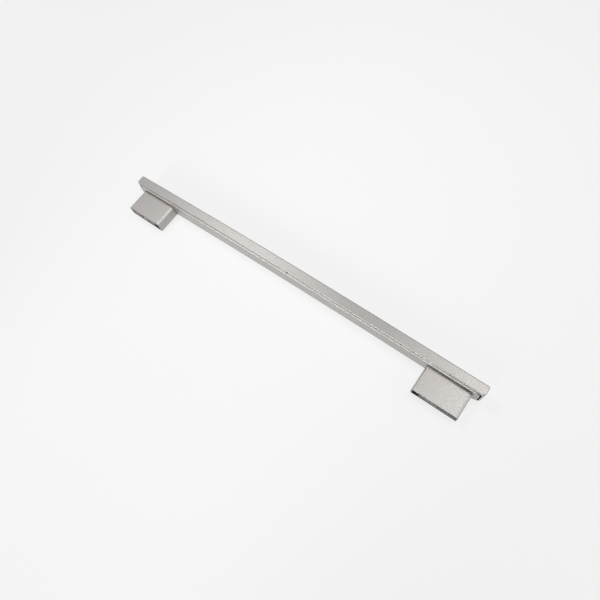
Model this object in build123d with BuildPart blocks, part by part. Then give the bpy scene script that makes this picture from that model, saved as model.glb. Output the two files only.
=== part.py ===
from build123d import *
import math
import os

# Oven door handle: a bar of two mouldings, a back rail under a clipped-on front cover, carried by two
# hollow legs that are screwed to the door. X runs along the bar, Y from the door out to the bar's front,
# Z up. The origin is midway between the two door screws, on the door. All sizes are millimetres.

# Bar
bar_length = 500.0
bar_bow = 2.0              # how far the bar's middle stands further out than its ends
bar_rise = 3.0             # the bar's mid-height above the legs' mid-height

# Front cover
cover_height = 28.0
cover_depth = 12.2
cover_wall = 2.4
cover_front_radius = 2.0   # upright corners at the two ends of the front
cover_back_radius = 4.0    # upright corners beside the rail's ends
cover_edge_radius = 1.2
cover_pocket_radius = 3.5  # corners of the cover's hollow, seen from the door
notch_width = 2.6          # prising notch in the upper rim, at mid-length
notch_depth = 1.0

# Back rail, inside the cover's hollow
rail_gap = 0.4             # open line between rail and cover, above and below
rail_end_gap = 1.8
rail_stand_out = 1.5       # the rail's back stands this far out of the cover, towards the door
rail_front_room = 3.2      # room in front of the rail, bridged by the cover's stops
rail_wall = 2.5
rail_back_wall = 3.0
rail_corner_radius = 5.0
rail_edge_radius = 0.6
rib_count = 6              # spread evenly between the legs
rib_thickness = 1.8

# Snaps: nibs on the rail that click into grooves in the cover, with a stop in front of each
snap_count = 6             # spread evenly between the legs
snap_length = 12.0
snap_setback = 4.0         # from the rail's back to the face where nib and groove meet
nib_depth = 1.5
nib_reach = 0.7            # into the cover's wall
nib_clearance = 0.2        # between nib and groove, apart from the face where they meet
stop_thickness = 2.0

# Legs
leg_inset = 37.0           # from the bar's end to the door screw's line
leg_width = 53.6
leg_thickness = 15.0
leg_length = 30.5          # door to rail, on the screw's line
leg_wall = 2.0
leg_end_wall = 3.0
leg_upper_radius = 3.5     # long edges, above
leg_lower_radius = 0.6     # long edges, below
leg_root_radius = 0.8      # upper edge and sides, where the leg meets the rail
foot_edge_radius = 0.5
slot_width = 7.0           # open slot at the inner end of each leg's foot

# Threaded steel insert for the door screw, one in each leg
insert_radius = 3.5
insert_length = 10.0
insert_bore_radius = 2.1   # core of an M5 thread
insert_chamfer = 0.4
insert_clearance = 0.05
insert_block_width = 11.6
tip_room = 6.0             # blind hole behind the insert for the screw's tip

# Tapping screws that hold the legs to the rail, two in each leg
screw_spacing = 27.0
screw_rise = 1.0
screw_radius = 1.75
screw_grip = 11.0          # length in the leg
screw_clearance = 0.25     # in the rail's hole
seat_sink = 0.4            # flat seat for the head, let into the rail's back wall
seat_clearance = 0.3
pilot_clearance = 0.05
pilot_spare = 1.5
screw_boss_radius = 3.9
screw_rib_thickness = 1.6
head_radius = 3.5
head_height = 2.4
head_edge_radius = 0.8
recess_length = 4.0
recess_width = 1.0
recess_depth = 1.4

# Worked out from the sizes above
fixing_centres = bar_length - 2 * leg_inset
rib_spacing = (fixing_centres - leg_width) / rib_count
snap_spacing = (fixing_centres - leg_width) / snap_count
bow_radius = (bar_length**2 / 4 + bar_bow**2) / (2 * bar_bow)
bow_centre = leg_length - math.sqrt(bow_radius**2 - fixing_centres**2 / 4)
rail_height = cover_height - 2 * cover_wall - 2 * rail_gap
rail_depth = rail_stand_out + cover_depth - cover_wall - rail_front_room
pocket_front = rail_stand_out + cover_depth - cover_wall
pocket_height = cover_height - 2 * cover_wall
pocket_half_length = bar_length / 2 - cover_wall
rail_half_length = pocket_half_length - rail_end_gap
groove_length = snap_length + 2 * nib_clearance
groove_front = snap_setback + nib_depth + nib_clearance
leg_inner_height = leg_thickness - 2 * leg_wall
across_bar = 2 * (bar_bow + rail_stand_out + cover_depth)  # reaches across the whole bar in plan
bar_plane = Plane.XY.offset(bar_rise)
leg_places = {"left": -fixing_centres / 2, "right": fixing_centres / 2}
screw_places = []
for place in leg_places.values():
    screw_places.append(place - screw_spacing / 2)
    screw_places.append(place + screw_spacing / 2)

os.makedirs("parts", exist_ok=True)


def back_line(x):
    """Distance from the door to the rail's back face at x."""
    return bow_centre + math.sqrt(bow_radius**2 - x**2)


def head_seat(x):
    """Distance from the door to the face that a leg screw's head bears on."""
    return back_line(x) + rail_back_wall - seat_sink


def bowed_strip(back, front, half_length, mode=Mode.ADD):
    """Plan outline between two arcs that follow the bow, both measured from the rail's back face."""
    with BuildLine() as outline:
        ends = []
        for depth in (back, front):
            radius = bow_radius + depth
            end_y = bow_centre + math.sqrt(radius**2 - half_length**2)
            ThreePointArc((-half_length, end_y), (0, bow_centre + radius), (half_length, end_y))
            ends.append(end_y)
        Line((-half_length, ends[0]), (-half_length, ends[1]))
        Line((half_length, ends[0]), (half_length, ends[1]))
    make_face(outline.edges(), mode=mode)


def snap_pieces(length, back, front):
    """Short lengths of a bowed strip, one at each snap."""
    with GridLocations(snap_spacing, 0, snap_count, 1):
        with Locations((0, back_line(0))):
            Rectangle(length, across_bar)
    bowed_strip(back, front, pocket_half_length, mode=Mode.INTERSECT)


# Hollow of the front cover, with rounded corners where its ends meet its top and bottom
with BuildPart() as cover_pocket:
    with BuildSketch(bar_plane):
        bowed_strip(0, pocket_front, pocket_half_length)
    extrude(amount=pocket_height / 2, both=True)
    fillet(cover_pocket.edges().filter_by(Axis.Y), radius=cover_pocket_radius)

# Front cover: a long trough, closed at both ends, open towards the door
with BuildPart() as front_cover:
    with BuildSketch(bar_plane):
        bowed_strip(rail_stand_out, rail_stand_out + cover_depth, bar_length / 2)
    extrude(amount=cover_height / 2, both=True)
    back_corners = front_cover.edges().filter_by(Axis.Z).group_by(Axis.Y)[0]
    fillet(back_corners, radius=cover_back_radius)
    front_corners = front_cover.edges().filter_by(Axis.Z).group_by(Axis.Y)[-1]
    fillet(front_corners, radius=cover_front_radius)
    top_and_bottom = front_cover.faces().filter_by(Axis.Z)
    fillet(top_and_bottom.edges(), radius=cover_edge_radius)
    add(cover_pocket.part, mode=Mode.SUBTRACT)
    # Grooves in the upper and lower wall
    for level in (-1, 1):
        with BuildSketch(bar_plane.offset(level * pocket_height / 2)):
            snap_pieces(groove_length, snap_setback, groove_front)
        extrude(amount=level * (nib_reach + nib_clearance), mode=Mode.SUBTRACT)
    # Stops that the rail's front edges rest against
    with BuildSketch(bar_plane):
        with GridLocations(snap_spacing, 0, snap_count, 1):
            with Locations((0, back_line(0))):
                Rectangle(stop_thickness, across_bar)
        bowed_strip(rail_depth, pocket_front, pocket_half_length, mode=Mode.INTERSECT)
    extrude(amount=pocket_height / 2, both=True)
    # Prising notch through the upper rim
    with BuildSketch(bar_plane.offset(pocket_height / 2)):
        with Locations((0, back_line(0) + rail_stand_out)):
            Rectangle(notch_width, 2 * notch_depth)
    extrude(amount=cover_wall, mode=Mode.SUBTRACT)

front_cover.part.label = "front_cover"
export_step(front_cover.part, "parts/front_cover.step")

# Back rail: a channel that opens forwards, with cross ribs, nibs and the leg screws' holes
with BuildPart() as back_rail:
    with BuildSketch(bar_plane):
        bowed_strip(0, rail_depth, rail_half_length)
    extrude(amount=rail_height / 2, both=True)
    fillet(back_rail.edges().filter_by(Axis.Y), radius=rail_corner_radius)
    fillet(back_rail.faces().sort_by(Axis.Y)[0].edges(), radius=rail_edge_radius)
    with BuildSketch(bar_plane):
        bowed_strip(rail_back_wall, rail_depth, rail_half_length - rail_wall)
        with GridLocations(rib_spacing, 0, rib_count, 1):
            with Locations((0, back_line(0))):
                Rectangle(rib_thickness, across_bar, mode=Mode.SUBTRACT)
    extrude(amount=rail_height / 2 - rail_wall, both=True, mode=Mode.SUBTRACT)
    for level in (-1, 1):
        with BuildSketch(bar_plane.offset(level * rail_height / 2)):
            snap_pieces(snap_length, snap_setback, snap_setback + nib_depth)
        extrude(amount=level * (rail_gap + nib_reach))
    for x in screw_places:
        with Locations(Plane((x, head_seat(x) + head_height, screw_rise), z_dir=(0, 1, 0))):
            CounterBoreHole(
                radius=screw_radius + screw_clearance,
                counter_bore_radius=head_radius + seat_clearance,
                counter_bore_depth=head_height,
                depth=head_height + rail_back_wall,
            )

back_rail.part.label = "back_rail"
export_step(back_rail.part, "parts/back_rail.step")

# Legs: hollow boxes, open towards the rail, with a closed foot against the door
for side, place in leg_places.items():
    inward = -math.copysign(1, place)
    with BuildPart() as leg:
        with BuildSketch(Plane.XZ):
            with Locations((place, 0)):
                Rectangle(leg_width, leg_thickness)
        extrude(amount=-back_line(0))
        with BuildSketch(Plane.XY):
            bowed_strip(0, rail_depth, rail_half_length)
        extrude(amount=leg_thickness, both=True, mode=Mode.SUBTRACT)
        long_edges = leg.edges().filter_by(Axis.Y).group_by(Axis.Z)
        fillet(long_edges[-1], radius=leg_upper_radius)
        root_edges = leg.faces().sort_by(Axis.Y)[-1].edges().sort_by(Axis.Z)
        fillet(root_edges[1:], radius=leg_root_radius)
        fillet(leg.edges().filter_by(Axis.Y).group_by(Axis.Z)[0], radius=leg_lower_radius)
        fillet(leg.faces().sort_by(Axis.Y)[0].edges(), radius=foot_edge_radius)
        # Hollow, around the insert's block and the two screw bosses with their ribs
        with BuildSketch(Plane.XZ.offset(-leg_end_wall)):
            with Locations((place, 0)):
                Rectangle(leg_width - 2 * leg_wall, leg_inner_height)
                Rectangle(insert_block_width, leg_inner_height, mode=Mode.SUBTRACT)
                with GridLocations(screw_spacing, 0, 2, 1):
                    Rectangle(screw_rib_thickness, leg_inner_height, mode=Mode.SUBTRACT)
                    with Locations((0, screw_rise)):
                        Circle(screw_boss_radius, mode=Mode.SUBTRACT)
        extrude(amount=-back_line(0), mode=Mode.SUBTRACT)
        # Slot through the foot, beside the leg's inner wall
        with BuildSketch(Plane.XZ):
            with Locations((place + inward * (leg_width / 2 - leg_wall - slot_width / 2), 0)):
                Rectangle(slot_width, leg_inner_height)
        extrude(amount=-leg_end_wall, mode=Mode.SUBTRACT)
        with Locations(Plane((place, 0, 0), z_dir=(0, -1, 0))):
            CounterBoreHole(
                radius=insert_bore_radius + pilot_clearance,
                counter_bore_radius=insert_radius + insert_clearance,
                counter_bore_depth=insert_length,
                depth=insert_length + tip_room,
            )
        for offset in (-screw_spacing / 2, screw_spacing / 2):
            x = place + offset
            with Locations(Plane((x, back_line(x), screw_rise), z_dir=(0, 1, 0))):
                Hole(radius=screw_radius + pilot_clearance, depth=screw_grip + pilot_spare)
    leg.part.label = f"leg_{side}"
    export_step(leg.part, f"parts/leg_{side}.step")

    # Threaded steel insert, pressed into the foot
    with BuildPart() as insert:
        with BuildSketch(Plane.XZ):
            with Locations((place, 0)):
                Circle(insert_radius)
                Circle(insert_bore_radius, mode=Mode.SUBTRACT)
        extrude(amount=-insert_length)
        chamfer(insert.edges().filter_by(GeomType.CIRCLE), length=insert_chamfer)
    insert.part.label = f"door_insert_{side}"
    export_step(insert.part, f"parts/door_insert_{side}.step")

# Pan-head tapping screws, driven from inside the rail into the legs
for number, x in enumerate(screw_places, start=1):
    seat = head_seat(x)
    with BuildPart() as screw:
        with BuildSketch(Plane.XZ.offset(-seat)):
            with Locations((x, screw_rise)):
                Circle(head_radius)
        extrude(amount=-head_height)
        fillet(screw.faces().sort_by(Axis.Y)[-1].edges(), radius=head_edge_radius)
        with BuildSketch(Plane.XZ.offset(-seat)):
            with Locations((x, screw_rise)):
                Circle(screw_radius)
        extrude(amount=seat - back_line(x) + screw_grip)
        chamfer(screw.faces().sort_by(Axis.Y)[0].edges(), length=screw_radius / 2)
        with BuildSketch(Plane.XZ.offset(-(seat + head_height))):
            with Locations((x, screw_rise)):
                Rectangle(recess_length, recess_width)
                Rectangle(recess_width, recess_length)
        extrude(amount=recess_depth, mode=Mode.SUBTRACT)
    screw.part.label = f"leg_screw_{number}"
    export_step(screw.part, f"parts/leg_screw_{number}.step")
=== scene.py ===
import math

import bpy
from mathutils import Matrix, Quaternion, Vector


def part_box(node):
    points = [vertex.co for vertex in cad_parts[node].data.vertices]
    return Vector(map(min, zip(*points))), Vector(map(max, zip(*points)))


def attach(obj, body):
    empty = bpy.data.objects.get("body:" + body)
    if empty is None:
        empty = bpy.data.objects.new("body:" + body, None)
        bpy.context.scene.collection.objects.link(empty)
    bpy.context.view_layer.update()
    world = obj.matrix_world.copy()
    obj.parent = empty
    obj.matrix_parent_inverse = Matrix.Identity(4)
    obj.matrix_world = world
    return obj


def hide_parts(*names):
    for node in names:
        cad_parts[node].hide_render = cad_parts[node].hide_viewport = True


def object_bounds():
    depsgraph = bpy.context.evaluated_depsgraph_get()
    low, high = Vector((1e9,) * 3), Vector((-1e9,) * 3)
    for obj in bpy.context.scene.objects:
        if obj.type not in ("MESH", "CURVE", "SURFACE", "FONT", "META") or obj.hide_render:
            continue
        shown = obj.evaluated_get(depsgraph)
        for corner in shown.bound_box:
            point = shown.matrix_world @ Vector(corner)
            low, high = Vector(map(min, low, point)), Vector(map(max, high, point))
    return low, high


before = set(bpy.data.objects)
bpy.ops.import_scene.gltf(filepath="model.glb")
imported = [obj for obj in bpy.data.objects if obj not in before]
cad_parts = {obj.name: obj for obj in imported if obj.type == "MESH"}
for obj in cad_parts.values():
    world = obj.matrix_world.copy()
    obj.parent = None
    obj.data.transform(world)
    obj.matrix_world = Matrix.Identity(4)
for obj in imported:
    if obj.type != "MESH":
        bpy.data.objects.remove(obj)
cad_low, cad_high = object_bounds()


# Back rail: the long strip in the cover's mouth that both legs are screwed to. It is moulded in dark
# plastic and sprayed silver from behind, so the paint covers its back and edges and fades out a few
# millimetres down its sides.
silver_light = (0.523, 0.501, 0.484, 1.0)
silver_dark = (0.411, 0.394, 0.379, 1.0)
# A brighter silver, for a painted highlight on rounded edges.
silver_edge_highlight = (0.535, 0.515, 0.497, 1.0)
# A brighter silver: a painted highlight on the rail's edges and sides, and the bright flecks of overspray
# on the feet.
silver_highlight_and_fleck = (0.66, 0.64, 0.62, 1.0)
plastic_colour = (0.022, 0.021, 0.02, 1.0)
plastic_lighter = (0.035, 0.034, 0.032, 1.0)
paint_metallic = 0.8
thin_paint_roughness = 0.42
plastic_roughness = 0.55
thin_paint_peel = 0.16
peel_height = 0.0001

# A noise is its grains to the metre and its layers of detail. A span is a lowest and a highest value.
flake_noise = (950.0, 2.0)
cloud_noise = (26.0, 3.0)
mottle_noise = (26.0, 2.0)
peel_noise = (1500.0, 2.0)
ragged_noise = (300.0, 2.0)
whole_span = (0.0, 1.0)
noise_span = (0.3, 0.7)
cloud_span = (0.3, 0.75)
cloud_shade = (0.0, 0.2)
edge_span = (0.05, 0.4)


def add_node(tree, kind, **settings):
    """A new node of that kind with these settings."""
    node = tree.nodes.new(kind)
    for setting, value in settings.items():
        setattr(node, setting, value)
    return node


def add_math(tree, operation, first, second):
    """The sum, product or the like of two values, each a plain number or a socket."""
    step = add_node(tree, "ShaderNodeMath", operation=operation)
    for socket, value in zip(step.inputs, (first, second)):
        if isinstance(value, float):
            socket.default_value = value
        else:
            tree.links.new(value, socket)
    return step.outputs["Value"]


def add_noise(tree, place, per_metre, layers):
    """A noise with that many grains to the metre and layers of detail, fixed to the part."""
    noise = add_node(tree, "ShaderNodeTexNoise")
    noise.inputs["Scale"].default_value = per_metre
    noise.inputs["Detail"].default_value = layers
    tree.links.new(place, noise.inputs["Vector"])
    return noise.outputs["Fac"]


def add_range(tree, value, span, result=whole_span):
    """A value taken smoothly from its span to the result's, and held at the ends."""
    ranged = add_node(tree, "ShaderNodeMapRange", interpolation_type="SMOOTHSTEP")
    for limit, level in zip(("From Min", "From Max", "To Min", "To Max"), span + result):
        ranged.inputs[limit].default_value = level
    tree.links.new(value, ranged.inputs["Value"])
    return ranged.outputs["Result"]


def add_colour_mix(tree, share, first, second):
    """A colour between two, each a plain colour or a socket."""
    mix = add_node(tree, "ShaderNodeMix", data_type="RGBA")
    tree.links.new(share, mix.inputs["Factor"])
    for name, colour in (("A", first), ("B", second)):
        socket = next(s for s in mix.inputs if s.name == name and s.type == "RGBA")
        if isinstance(colour, tuple):
            socket.default_value = colour
        else:
            tree.links.new(colour, socket)
    return next(s for s in mix.outputs if s.type == "RGBA")


def new_finish(name):
    """A material with its node tree, its shader and the part's own coordinates."""
    finish = bpy.data.materials.new(name)
    finish.use_nodes = True
    tree = finish.node_tree
    shader = tree.nodes["Principled BSDF"]
    place = add_node(tree, "ShaderNodeTexCoord").outputs["Object"]
    return finish, tree, shader, place


def rounded_edge(tree):
    """How far a place is round an edge: 0 on the flat faces, 1 half-way round."""
    facing = add_node(tree, "ShaderNodeSeparateXYZ")
    normal = add_node(tree, "ShaderNodeNewGeometry").outputs["Normal"]
    tree.links.new(normal, facing.inputs["Vector"])
    most = 0.0
    for first, second in (("X", "Z"), ("Y", "Z"), ("X", "Y")):
        turned = add_math(tree, "MULTIPLY", facing.outputs[first], facing.outputs[second])
        most = add_math(tree, "MAXIMUM", add_math(tree, "ABSOLUTE", turned, 0.0), most)
    return add_range(tree, most, edge_span)


def silver_colour(tree, place):
    """Fine metallic grain, a faint unevenness of the spray, and a painted highlight that makes rounded
    edges a little brighter.
    """
    flake = add_range(tree, add_noise(tree, place, *flake_noise), noise_span)
    cloud = add_range(tree, add_noise(tree, place, *cloud_noise), cloud_span, cloud_shade)
    grain = add_colour_mix(tree, flake, silver_dark, silver_light)
    uneven = add_colour_mix(tree, cloud, grain, silver_dark)
    return add_colour_mix(tree, rounded_edge(tree), uneven, silver_edge_highlight)


def plastic_mottle(tree, place):
    """Dark moulded plastic with a faint mottle."""
    mottle = add_range(tree, add_noise(tree, place, *mottle_noise), noise_span)
    return add_colour_mix(tree, mottle, plastic_colour, plastic_lighter)


def add_grain_bump(tree, place, shader, strength):
    """The slight orange-peel of sprayed paint, or the fine texture of a moulded surface."""
    bump = add_node(tree, "ShaderNodeBump")
    bump.inputs["Strength"].default_value = strength
    bump.inputs["Distance"].default_value = peel_height
    tree.links.new(add_noise(tree, place, *peel_noise), bump.inputs["Height"])
    tree.links.new(bump.outputs["Normal"], shader.inputs["Normal"])


def part_painted(name, reach):
    """Dark plastic under paint: reach gives the paint's share, and the share of it made brighter, as a
    painted highlight or as bright flecks.
    """
    finish, tree, shader, place = new_finish(name)
    share, highlight_and_fleck = reach(tree, place)
    paint = add_colour_mix(tree, highlight_and_fleck, silver_colour(tree, place), silver_highlight_and_fleck)
    colour = add_colour_mix(tree, share, plastic_mottle(tree, place), paint)
    metallic = add_range(tree, share, whole_span, (0.0, paint_metallic))
    roughness = add_range(tree, share, whole_span, (plastic_roughness, thin_paint_roughness))
    tree.links.new(colour, shader.inputs["Base Color"])
    tree.links.new(metallic, shader.inputs["Metallic"])
    tree.links.new(roughness, shader.inputs["Roughness"])
    add_grain_bump(tree, place, shader, thin_paint_peel)
    return finish


def dress(node, finishes, choose):
    """Gives a node its finishes, and each face the one that choose picks by its middle and normal."""
    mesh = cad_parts[node].data
    mesh.materials.clear()
    for finish in finishes:
        mesh.materials.append(finish)
    for face in mesh.polygons:
        face.material_index = choose(face.center, face.normal)


def all_over(middle, normal):
    """The first finish, wherever the face is."""
    return 0


rail_low, rail_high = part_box("back_rail")
bar_bow = 0.002
bow_per_square = bar_bow / cad_high.x**2
rail_middle_back = rail_low.y + bow_per_square * rail_high.x**2
paint_full_depth = 0.0022
paint_end_depth = 0.0042
paint_ragged = 0.0008
edge_depth = 0.0004


def rail_reach(tree, place):
    """The paint's share by depth behind the rail's bowed back, and a painted highlight on its edges and
    sides.
    """
    spot = add_node(tree, "ShaderNodeSeparateXYZ")
    tree.links.new(place, spot.inputs["Vector"])
    square = add_math(tree, "MULTIPLY", spot.outputs["X"], spot.outputs["X"])
    sag = add_math(tree, "MULTIPLY", square, bow_per_square)
    level = add_math(tree, "ADD", spot.outputs["Y"], sag)
    ragged = add_math(tree, "MULTIPLY", add_noise(tree, place, *ragged_noise), paint_ragged)
    depth = add_math(tree, "ADD", level, ragged)
    fade_span = (rail_middle_back + paint_full_depth, rail_middle_back + paint_end_depth)
    highlight_span = (rail_middle_back, rail_middle_back + edge_depth)
    return add_range(tree, depth, fade_span, (1.0, 0.0)), add_range(tree, level, highlight_span)


dress("back_rail", [part_painted("rail_paint", rail_reach)], all_over)


# Legs: two flat hollow mouldings of the same plastic, screwed to the rail, that stand the bar off the
# door. The paint covers their outside. Inside they are bare, and their feet, which stand on the door,
# have only caught a little overspray.
paint_sheen = (0.38, 0.46)
paint_peel = 0.12
plastic_texture = 0.2
sheen_noise = (1500.0, 1.0)
speckle_noise = (700.0, 3.0)
drift_noise = (90.0, 2.0)
overspray_span = (0.85, 1.25)
overspray_share = (0.05, 0.5)
fleck_span = (1.15, 1.4)
fleck_share = (0.0, 0.3)
foot_depth = 0.0002
foot_facing = -0.9
leg_skin = 0.0019


def silver_paint(name):
    """Satin silver paint, for what the spray reaches fully. Its sheen varies with the grain."""
    finish, tree, shader, place = new_finish(name)
    sheen = add_range(tree, add_noise(tree, place, *sheen_noise), noise_span, paint_sheen)
    tree.links.new(silver_colour(tree, place), shader.inputs["Base Color"])
    tree.links.new(sheen, shader.inputs["Roughness"])
    shader.inputs["Metallic"].default_value = paint_metallic
    add_grain_bump(tree, place, shader, paint_peel)
    return finish


def bare_plastic(name):
    """Dark moulded plastic that no paint reaches."""
    finish, tree, shader, place = new_finish(name)
    tree.links.new(plastic_mottle(tree, place), shader.inputs["Base Color"])
    shader.inputs["Roughness"].default_value = plastic_roughness
    add_grain_bump(tree, place, shader, plastic_texture)
    return finish


def foot_reach(tree, place):
    """A speckle of paint that drifts thicker and thinner, with bright flecks where it is thickest."""
    speckle = add_noise(tree, place, *speckle_noise)
    drift = add_noise(tree, place, *drift_noise)
    thickness = add_math(tree, "ADD", speckle, drift)
    overspray = add_range(tree, thickness, overspray_span, overspray_share)
    return overspray, add_range(tree, thickness, fleck_span, fleck_share)


def leg_finish_for(node):
    """How the faces of that leg are told apart: 0 painted, 1 bare, 2 foot."""
    low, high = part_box(node)

    def choose(middle, normal):
        if middle.y < low.y + foot_depth and normal.y < foot_facing:
            return 2
        inside_x = low.x + leg_skin < middle.x < high.x - leg_skin
        inside_z = low.z + leg_skin < middle.z < high.z - leg_skin
        return 1 if inside_x and inside_z else 0

    return choose


silver = silver_paint("silver_paint")
dark_plastic = bare_plastic("dark_plastic")
foot_overspray = part_painted("foot_overspray", foot_reach)
for side in ("left", "right"):
    dress(f"leg_{side}", [silver, dark_plastic, foot_overspray], leg_finish_for(f"leg_{side}"))


# Door inserts: turned steel bushes with an M5 thread, zinc plated and pressed into the feet. The door's
# screws go into them from the other side of the door.
zinc_bright = (0.5, 0.49, 0.47, 1.0)
zinc_dull = (0.34, 0.33, 0.32, 1.0)
zinc_noise = (1100.0, 4.0)
zinc_span = (0.35, 0.7)
zinc_sheen = (0.28, 0.42)
bush_chamfer = 0.0004
thread_pitch = 0.0008
thread_core = 0.0021
thread_depth = 0.0004
crest_share = 0.2
flank_share = 0.6
ring_points = 40
rows_per_turn = 6


def plated_metal(name):
    """Zinc plate with fine marks of its making."""
    finish, tree, shader, place = new_finish(name)
    marks = add_noise(tree, place, *zinc_noise)
    colour = add_colour_mix(tree, add_range(tree, marks, zinc_span), zinc_bright, zinc_dull)
    tree.links.new(colour, shader.inputs["Base Color"])
    tree.links.new(add_range(tree, marks, noise_span, zinc_sheen), shader.inputs["Roughness"])
    shader.inputs["Metallic"].default_value = 1.0
    return finish


def thread_radius(depth, length, turn):
    """The bore's radius at a depth and a share of a turn, with a chamfer at both ends."""
    rise = 1.0 - abs(2.0 * ((depth / thread_pitch - turn) % 1.0) - 1.0)
    groove = thread_depth * min(max((rise - crest_share) / flank_share, 0.0), 1.0)
    to_end = min(depth, length - depth)
    return thread_core + max(groove, bush_chamfer - to_end)


def threaded_bush(name, low, high):
    """A bush between two corners of its box, with its axis along Y and a helical thread in its bore."""
    middle = (low + high) / 2
    radius = (high.x - low.x) / 2
    length = high.y - low.y
    rows = round(length / thread_pitch * rows_per_turn)
    rings = []
    for row in range(rows + 1):
        depth = length * row / rows
        rings.append([(depth, thread_radius(depth, length, k / ring_points)) for k in range(ring_points)])
    outside = [
        (length, radius - bush_chamfer),
        (length - bush_chamfer, radius),
        (bush_chamfer, radius),
        (0.0, radius - bush_chamfer),
    ]
    for corner in outside:
        rings.append([corner] * ring_points)
    points = []
    for ring in rings:
        for k, (depth, reach) in enumerate(ring):
            angle = 2 * math.pi * k / ring_points
            x = middle.x + reach * math.cos(angle)
            z = middle.z + reach * math.sin(angle)
            points.append((x, low.y + depth, z))
    faces = []
    for row in range(len(rings)):
        start = row * ring_points
        after = (row + 1) % len(rings) * ring_points
        for k in range(ring_points):
            beside = (k + 1) % ring_points
            faces.append((start + k, after + k, after + beside, start + beside))
    mesh = bpy.data.meshes.new(name)
    mesh.from_pydata(points, [], faces)
    bush = bpy.data.objects.new(name, mesh)
    bpy.context.scene.collection.objects.link(bush)
    return bush


zinc = plated_metal("zinc_plate")
for side in ("left", "right"):
    bush = threaded_bush(f"threaded_bush_{side}", *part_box(f"door_insert_{side}"))
    bush.data.materials.append(zinc)
    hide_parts(f"door_insert_{side}")
    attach(bush, "root")


# Leg screws: zinc-plated steel tapping screws, driven from inside the rail into the legs, two to a leg.
# The cover hides them.
screw_count = 4
for number in range(1, screw_count + 1):
    dress(f"leg_screw_{number}", [zinc], all_over)


# Front cover: a long trough with closed ends, moulded in the same plastic and clipped over the rail. It
# is painted outside and on its rim, and bare inside, so the gap at the rail's ends looks black.
cover_low, cover_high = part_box("front_cover")
cover_skin = 0.0019
cover_front_skin = 0.00418
rim_depth = 0.0035
rim_facing = -0.7
notch_half = 0.0014
notch_wall = 0.0024
notch_reach = 0.0042
notch_facing = 0.5


def cover_finish(middle, normal):
    """How the cover's faces are told apart: 0 painted, 1 bare, which the notch is too."""
    in_top_wall = middle.z > cover_high.z - notch_wall and normal.z < notch_facing
    near_rim = middle.y < cover_low.y + notch_reach
    if abs(middle.x) < notch_half and in_top_wall and near_rim:
        return 1
    if normal.y < rim_facing and middle.y < cover_low.y + rim_depth:
        return 0
    inside_x = cover_low.x + cover_skin < middle.x < cover_high.x - cover_skin
    inside_z = cover_low.z + cover_skin < middle.z < cover_high.z - cover_skin
    inside_y = middle.y < cover_high.y - cover_front_skin
    return 1 if inside_x and inside_z and inside_y else 0


dress("front_cover", [silver, dark_plastic], cover_finish)


# Floor: a pale table that the handle lies on. It shows nearly white to the camera and in the metal,
# keeps a faint shadow, and fades to the backdrop's grey far away.
floor_side = 30.0
floor_colour = (0.95, 0.95, 0.95, 1.0)
floor_glow = 1.0
near_white = 0.75
far_white = 0.27
fade_start = 1.2
fade_end = 5.0


def seen_ray(tree):
    """1 for what the camera sees, also in a mirror or through glass, and 0 for other light."""
    rays = add_node(tree, "ShaderNodeLightPath").outputs
    mirrored = add_math(tree, "MAXIMUM", rays["Is Glossy Ray"], rays["Is Transmission Ray"])
    return add_math(tree, "MAXIMUM", rays["Is Camera Ray"], mirrored)


def table_top(name):
    """Matt white, with plain white mixed in where it is seen, and less of that far away."""
    finish, tree, shader, place = new_finish(name)
    tree.nodes.remove(shader)
    matt = add_node(tree, "ShaderNodeBsdfDiffuse")
    matt.inputs["Color"].default_value = floor_colour
    white = add_node(tree, "ShaderNodeEmission")
    white.inputs["Strength"].default_value = floor_glow
    away = add_node(tree, "ShaderNodeVectorMath", operation="LENGTH")
    tree.links.new(place, away.inputs["Vector"])
    share = add_range(tree, away.outputs["Value"], (fade_start, fade_end), (near_white, far_white))
    blend = add_node(tree, "ShaderNodeMixShader")
    tree.links.new(add_math(tree, "MULTIPLY", seen_ray(tree), share), blend.inputs["Fac"])
    tree.links.new(matt.outputs["BSDF"], blend.inputs[1])
    tree.links.new(white.outputs["Emission"], blend.inputs[2])
    tree.links.new(blend.outputs["Shader"], tree.nodes["Material Output"].inputs["Surface"])
    return finish


half = floor_side / 2
corners = [(x * half, y * half, cad_low.z) for x, y in ((-1, -1), (1, -1), (1, 1), (-1, 1))]
mesh = bpy.data.meshes.new("floor")
mesh.from_pydata(corners, [], [(0, 1, 2, 3)])
mesh.materials.append(table_top("pale_table"))
floor = bpy.data.objects.new("floor", mesh)
bpy.context.scene.collection.objects.link(floor)


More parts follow.
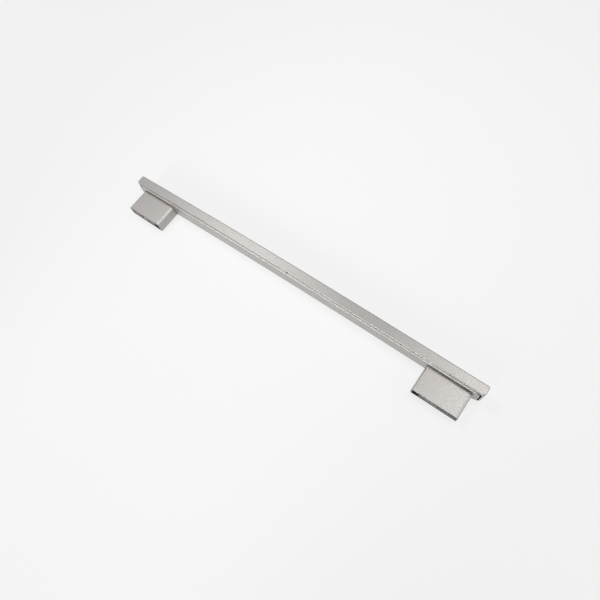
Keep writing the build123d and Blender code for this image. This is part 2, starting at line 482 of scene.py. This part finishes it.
# Studio light: square soft boxes over and beside the table, and a little light from all round. The
# backdrop is grey, as the far end of the table.
backdrop_colour = (1.0, 1.0, 1.0, 1.0)
backdrop_level = 0.35
round_light = 0.12
handle_middle = (0.0, 0.02, 0.0)
full_spread = 180.0
world = bpy.data.worlds.new("studio")
bpy.context.scene.world = world
world.use_nodes = True
sky = world.node_tree
around = sky.nodes["Background"]
around.inputs["Color"].default_value = backdrop_colour
around.inputs["Strength"].default_value = round_light
backdrop = add_node(sky, "ShaderNodeBackground")
backdrop.inputs["Color"].default_value = backdrop_colour
backdrop.inputs["Strength"].default_value = backdrop_level
choice = add_node(sky, "ShaderNodeMixShader")
sky.links.new(seen_ray(sky), choice.inputs["Fac"])
sky.links.new(around.outputs["Background"], choice.inputs[1])
sky.links.new(backdrop.outputs["Background"], choice.inputs[2])
sky.links.new(choice.outputs["Shader"], sky.nodes["World Output"].inputs["Surface"])


def soft_box(name, place, width, power, aim=handle_middle, spread=full_spread):
    """A square lamp that faces its aim, with its light spread over that many degrees."""
    lamp = bpy.data.lights.new(name, "AREA")
    lamp.shape = "SQUARE"
    lamp.size = width
    lamp.energy = power
    lamp.spread = math.radians(spread)
    box = bpy.data.objects.new(name, lamp)
    box.location = place
    box.visible_camera = False
    box.rotation_mode = "QUATERNION"
    box.rotation_quaternion = (Vector(aim) - Vector(place)).to_track_quat("-Z", "Y")
    bpy.context.scene.collection.objects.link(box)


soft_box("over_left", place=(-0.552, 0.12, 1.1), width=0.35, power=2.74)
soft_box("over_left_back", place=(-0.552, 0.332, 1.02), width=0.35, power=0.47)
soft_box("over_right", place=(0.36, 0.12, 1.15), width=0.35, power=0.78)
soft_box("over_right_back", place=(0.36, 0.356, 1.092), width=0.35, power=1.77)
soft_box("right_side", place=(1.0, 0.26, 0.55), width=0.7, power=2.19)
soft_box("left_side", place=(-0.99, 0.02, 0.385), width=0.5, power=0.73)
soft_box("front", place=(-0.06, -0.6, 0.3), width=0.5, power=0.45, aim=(-0.06, 0.02, 0.0), spread=42.0)


# Camera: above the handle's right-hand leg and turned about its own axis, as the photograph was taken.
# Its place and lens are those that fit the handle's edges there.
camera_place = Vector((0.21294, -0.11866, 0.52001))
camera_aim = Vector((0.02812, 0.01807, 0.003))
camera_roll = math.radians(18.727)
film_width = 36.0
focal_length = 29.307
nearest_seen = 0.01
farthest_seen = 100.0
lens = bpy.data.cameras.new("camera")
lens.sensor_width = film_width
lens.lens = focal_length
lens.clip_start = nearest_seen
lens.clip_end = farthest_seen
camera = bpy.data.objects.new("camera", lens)
camera.location = camera_place
camera.rotation_mode = "QUATERNION"
upright = (camera_aim - camera_place).to_track_quat("-Z", "Y")
camera.rotation_quaternion = upright @ Quaternion((0.0, 0.0, 1.0), -camera_roll)
bpy.context.scene.collection.objects.link(camera)
bpy.context.scene.camera = camera

bpy.context.scene.view_settings.view_transform = "Standard"
